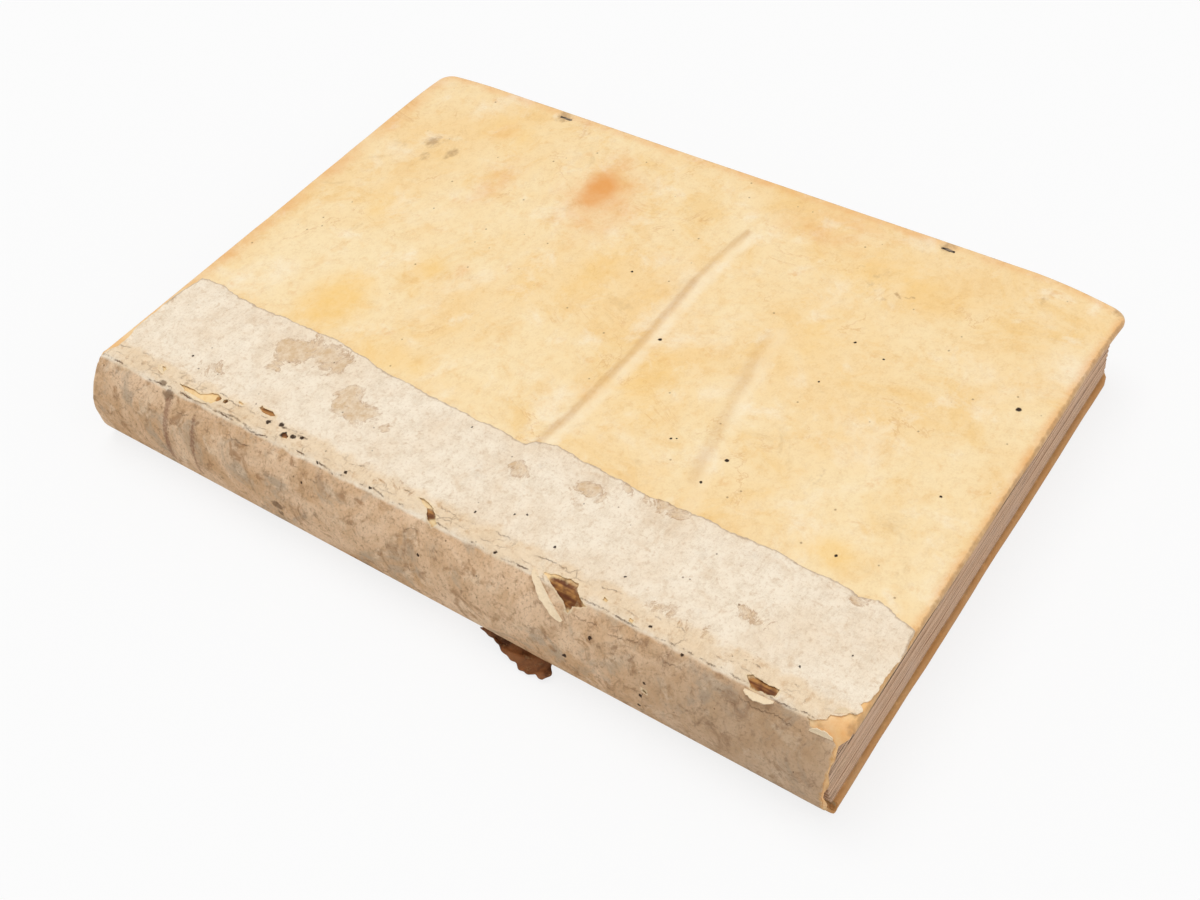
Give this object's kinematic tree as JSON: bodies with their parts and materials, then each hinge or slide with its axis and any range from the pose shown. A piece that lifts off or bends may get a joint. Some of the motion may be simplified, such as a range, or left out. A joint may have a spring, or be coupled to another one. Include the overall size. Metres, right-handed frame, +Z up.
{
  "type": "vellum-bound book",
  "caption": "Old folio book in a worn stiff vellum binding, its spine and joints covered by a torn later paper strip.",
  "frame": {"origin": "centre of the bounding box at its bottom, which is the table surface under the lower cover", "axes": "X from the spine to the fore-edge, Y from the tail to the head, Z up through the thickness, upper cover on top"},
  "size_m": [0.2235, 0.31, 0.034],
  "materials": {
    "vellum": "cream-yellow vellum with a faint satin sheen, stains and worm holes",
    "strip_paper": "matt off-white paper, grey-brown over the spine, torn and stained",
    "leaves": "edges of old rag paper leaves, grey-brown with dust",
    "pasteboard": "grey-brown layered pasteboard",
    "pastedown_paper": "matt toned rag paper",
    "tawed_skin": "matt alum-tawed skin",
    "tie_skin": "dirty cut stubs of tawed skin ties",
    "old_covering": "crumpled brown rest of an older covering"
  },
  "bodies": {
    "block": {"text_block": "leaves", "sewing_support_1": "tawed_skin", "sewing_support_2": "tawed_skin", "sewing_support_3": "tawed_skin", "sewing_support_4": "tawed_skin", "sewing_support_5": "tawed_skin", "spine_vellum": "vellum", "spine_strip": "strip_paper", "covering_remnant": "old_covering"},
    "upper_cover": {"upper_board": "pasteboard", "upper_vellum": "vellum", "upper_pastedown": "pastedown_paper", "upper_strip": "strip_paper", "upper_slips": "tawed_skin", "upper_head_tie": "tie_skin", "upper_tail_tie": "tie_skin"},
    "lower_cover": {"lower_board": "pasteboard", "lower_vellum": "vellum", "lower_pastedown": "pastedown_paper", "lower_strip": "strip_paper", "lower_slips": "tawed_skin", "lower_head_tie": "tie_skin", "lower_tail_tie": "tie_skin"}
  },
  "joints": [
    {"name": "upper_joint", "type": "hinge", "parent": "block", "child": "upper_cover", "pos_m": [-0.09325, 0, 0.034], "axis": [0, -1, 0], "range_deg": [0, 180]},
    {"name": "lower_joint", "type": "hinge", "parent": "block", "child": "lower_cover", "pos_m": [-0.10176, 0, 0], "axis": [0, 1, 0], "range_deg": [0, 180]}
  ]
}
